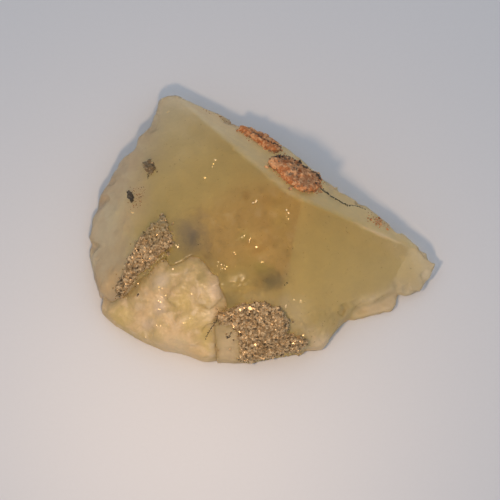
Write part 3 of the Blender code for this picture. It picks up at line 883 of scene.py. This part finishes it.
# Dark seams: width in mm and route in plan.
SEAMS = (
    (0.36, (9.2, 5.6), (10.1, 5.5), (11.8, 4.2), (13.6, 3.2), (15.2, 2.5)),
    (0.20, (14.6, 2.7), (16.7, 3.3), (18.3, 3.0)),
    (0.42, (1.5, 10.3), (2.2, 11.0), (3.2, 11.4), (4.3, 11.6), (5.6, 10.8)),
    (0.40, (6.2, 10.5), (7.6, 9.5), (9.0, 9.0), (9.8, 8.5), (9.9, 7.2)),
    (0.30, (-2.2, 17.5), (-0.9, 16.4), (0.2, 15.8), (1.1, 15.1), (2.3, 14.5), (3.2, 13.9)),
    (0.24, (-8.4, -19.2), (-9.3, -20.2), (-10.0, -21.2), (-10.5, -22.2)),
    (0.30, (-6.8, -21.7), (-6.2, -21.5), (-5.9, -21.0), (-5.7, -20.9)),
    (0.24, (-20.8, 8.6), (-20.8, 7.6)),
    (0.24, (-17.6, -0.9), (-18.3, -2.2)),
    (0.30, (-26.0, -12.4), (-26.1, -13.4), (-25.6, -13.9)),
    (0.30, (-4.4, -24.6), (-2.4, -24.9), (0.3, -24.3), (2.6, -23.8), (6.0, -23.4)),
    (0.24, (-8.2, -19.4), (-6.9, -18.7), (-5.4, -18.2)),
    (0.28, (-22.5, -14.4), (-22.2, -13.9)),
    (0.24, (3.7, -13.7), (4.2, -13.3)),
)
# Middles in plan of small sprays of rust, and of the flakes that catch the light.
RUST_SPECKS = (
    (-22.4, 2.7), (-23.8, 5.6), (-21.7, 5.3), (-22.7, 3.5), (-23.2, 2.1), (-22.0, 3.9), (-22.3, 4.6),
    (-3.8, 18.9), (-5.0, 19.4), (-6.2, 20.1), (-7.4, 20.9), (-8.7, 21.7), (-10.2, 22.2), (-1.6, 16.5),
    (1.9, 13.2), (19.4, 1.8), (21.9, 0.0),
)
GLINTS = (
    (-1.5, 0.3), (4.0, -1.4), (4.0, -2.5), (-7.8, -10.7), (-7.3, -11.5), (-5.2, -8.9), (5.3, -16.0),
    (3.7, -17.2), (6.3, -16.2), (-17.3, 21.3), (-9.1, 8.7), (-8.6, 10.1), (-10.7, 6.5), (-16.1, -11.0),
    (-18.3, -13.8), (-18.3, -15.9), (-20.8, -15.9), (-18.8, -17.2), (-17.6, -15.1), (-13.0, -19.3),
    (-14.2, -20.0), (-12.8, -15.4), (-18.8, -19.9), (-21.0, -21.1), (-15.3, -6.8), (-23.4, 0.9),
    (-3.8, -6.0), (-2.5, -6.7), (-1.6, -8.0), (-0.4, -10.5), (-6.8, -10.9),
)
# Smoke deep inside: middle and spread in mm, and how many grains.
CLOUDS = (((-12.6, -5.0, 11.2), (0.65, 0.6, 0.4), 300), ((-12.9, -4.6, 10.6), (1.5, 1.4, 0.6), 300))


class SPECIMEN_OT_flaws(bpy.types.Operator):
    """Flaws and specks: dark seams, rust specks, smoky clouds inside, bright cleavage flakes"""

    bl_idname = "specimen.flaws"
    bl_label = "Flaws and specks"

    def execute(self, context):
        colours, sizes, _ = settings()
        soot = finish_of_soot(colours)
        rng = random.Random(FLAW_SEED)
        tree = tree_of(*ROCKS, *(name + "_crumbs" for name in IRON))
        crumbs = [
            crumb(rng, seat, rng.uniform(0.5, 1.2) * width * MM)
            for width, *route in SEAMS for x, y in along(route, SEAM_STEP)
            for seat in seats_near(tree, rng, x, y, width * 0.3, 1)]
        finish_piece(as_piece(gathered(crumbs), "dark_seams"), soot, "iron_crust")
        crumbs = [
            crumb(rng, seat, rng.uniform(0.10, 0.26) * MM)
            for x, y in RUST_SPECKS for seat in seats_near(tree, rng, x, y, 0.45, 11)]
        finish_piece(as_piece(gathered(crumbs), "rust_specks"), finish_of_specks(colours), "iron_crust")
        crumbs = []
        for middle, spread, count in CLOUDS:
            for _ in range(count):
                offset = Vector([rng.gauss(0, part) for part in spread])
                seat = ((Vector(middle) + offset) * MM, UP)
                crumbs.append(crumb(rng, seat, rng.uniform(0.08, 0.28) * MM))
        finish_piece(as_piece(gathered(crumbs), "smoky_clouds"), finish_of_smoke(colours), "sulfide")
        flakes = [
            flake(rng, seat, rng.uniform(0.14, 0.34) * MM)
            for x, y in GLINTS for seat in seats_near(tree, rng, x, y, 0.20, 3)]
        finish_piece(as_piece(gathered(flakes), "cleavage_flakes"), finish_of_flakes(colours), "fluorite")
        return {"FINISHED"}


def flake(rng, seat, across):
    """A maker of a thin rhombic flake that leans out of its seat."""
    lean = Vector((-0.12 + rng.gauss(0, 0.2), -0.42 + rng.gauss(0, 0.2), 0.9)).to_track_quat("Z", "Y")
    spin = Matrix.Rotation(rng.uniform(0, math.tau), 4, "Z")
    place = Matrix.Translation(seat[0]) @ lean.to_matrix().to_4x4() @ spin
    shape = Matrix.Diagonal((1, rng.uniform(0.4, 0.9), 0.18, 1))
    return lambda bm: bmesh.ops.create_cube(bm, size=across, matrix=place @ shape)


def finish_of_soot(colours):
    finish = Finish("dark seams")
    grain = finish.noise(3.0, 2)
    body = finish.mix(grain.between(0.42, 0.75), colours.soot, colours.umber)
    return finish.surface({"Base Color": body, "Roughness": 0.5 + grain * 0.3})


def finish_of_specks(colours):
    finish = Finish("rust specks")
    grain = finish.cell_shade(2.0)
    return finish.surface({"Base Color": finish.mix(grain, colours.umber, colours.rust), "Roughness": 0.8})


def finish_of_smoke(colours):
    finish = Finish("smoky clouds")
    grain = finish.noise(3.0, 2)
    body = finish.mix(grain, colours.soot, colours.smoke)
    return finish.surface({"Base Color": body, "Roughness": 0.7 + grain * 0.2})


def finish_of_flakes(colours):
    finish = Finish("cleavage flakes")
    tint = finish.cell_shade(1.2)
    return finish.surface({
        "Base Color": finish.mix(tint, colours.gleam, colours.veil),
        "Roughness": 0.30 + tint * 0.2,
        "Metallic": 0.5,
    })


class SPECIMEN_OT_stage(bpy.types.Operator):
    """Pale floor, warm lamp, soft light from all round and the camera"""

    bl_idname = "specimen.stage"
    bl_label = "Studio"

    def execute(self, context):
        colours, _, studio = settings()
        scene = context.scene
        bm = bmesh.new()
        bmesh.ops.create_grid(bm, x_segments=1, y_segments=1, size=FLOOR_HALF)
        bmesh.ops.translate(bm, verts=bm.verts, vec=(0, 0, -FLOOR_DROP))
        floor = as_piece(bm, "floor")
        finish = Finish("paper")
        fibre = finish.noise(1.5, 3)
        floor.data.materials.append(finish.surface({
            "Base Color": finish.mix(fibre, colours.paper, [part * 0.97 for part in colours.paper]),
            "Roughness": 0.8,
        }))
        floor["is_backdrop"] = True

        lamp = bpy.data.lights.new("key", "AREA")
        lamp.shape = "DISK"
        lamp.size = studio.key_size
        lamp.energy = studio.key
        lamp.color = studio.key_colour
        key = bpy.data.objects.new("key", lamp)
        scene.collection.objects.link(key)
        key.location = LAMP_PLACE
        key.rotation_euler = key.location.to_track_quat("Z", "Y").to_euler()

        world = bpy.data.worlds.new("sky")
        world.use_nodes = True
        sky = world.node_tree.nodes["Background"]
        sky.inputs["Color"].default_value = (*studio.sky_colour, 1)
        sky.inputs["Strength"].default_value = studio.sky
        scene.world = world

        camera = bpy.data.objects.new("camera", bpy.data.cameras.new("camera"))
        scene.collection.objects.link(camera)
        camera.data.sensor_width = SENSOR
        camera.data.lens = SENSOR * studio.distance / studio.field
        back = Vector((0, -math.cos(studio.elevation), math.sin(studio.elevation)))
        upward = Vector((0, math.sin(studio.elevation), math.cos(studio.elevation)))
        aim = Vector((AIM_X, 0, 0)) - upward * AIM_LOWER
        camera.location = aim + back * studio.distance
        camera.rotation_euler = back.to_track_quat("Z", "Y").to_euler()
        scene.camera = camera
        scene.view_settings.view_transform = "Standard"
        return {"FINISHED"}


class SPECIMEN_PT_panel(bpy.types.Panel):
    """The specimen's pieces, in the order in which they are made"""

    bl_idname = "SPECIMEN_PT_panel"
    bl_label = "Specimen"
    bl_space_type = "VIEW_3D"
    bl_region_type = "UI"
    bl_category = "Specimen"

    def draw(self, context):
        for group in settings():
            for name in group.__annotations__:
                self.layout.prop(group, name)
        for operator in OPERATORS:
            self.layout.operator(operator.bl_idname)


GROUPS = (SpecimenColours, SpecimenSizes, SpecimenStudio)
OPERATORS = (
    SPECIMEN_OT_stage, SPECIMEN_OT_fluorite, SPECIMEN_OT_calcite, SPECIMEN_OT_druses, SPECIMEN_OT_iron_crusts,
    SPECIMEN_OT_flaws,
)


def register():
    for kind in GROUPS + OPERATORS + (SPECIMEN_PT_panel,):
        bpy.utils.register_class(kind)
    bpy.types.Scene.specimen_colours = PointerProperty(type=SpecimenColours)
    bpy.types.Scene.specimen_sizes = PointerProperty(type=SpecimenSizes)
    bpy.types.Scene.specimen_studio = PointerProperty(type=SpecimenStudio)


def unregister():
    del bpy.types.Scene.specimen_studio
    del bpy.types.Scene.specimen_sizes
    del bpy.types.Scene.specimen_colours
    for kind in reversed(GROUPS + OPERATORS + (SPECIMEN_PT_panel,)):
        bpy.utils.unregister_class(kind)


def main():
    register()
    for operator in OPERATORS:
        group, name = operator.bl_idname.split(".")
        getattr(getattr(bpy.ops, group), name)()
    corners = {"cad": CAD_BOX, "visual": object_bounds()}
    {name: [list(corner) for corner in box] for name, box in corners.items()}


if __name__ == "__main__":
    main()
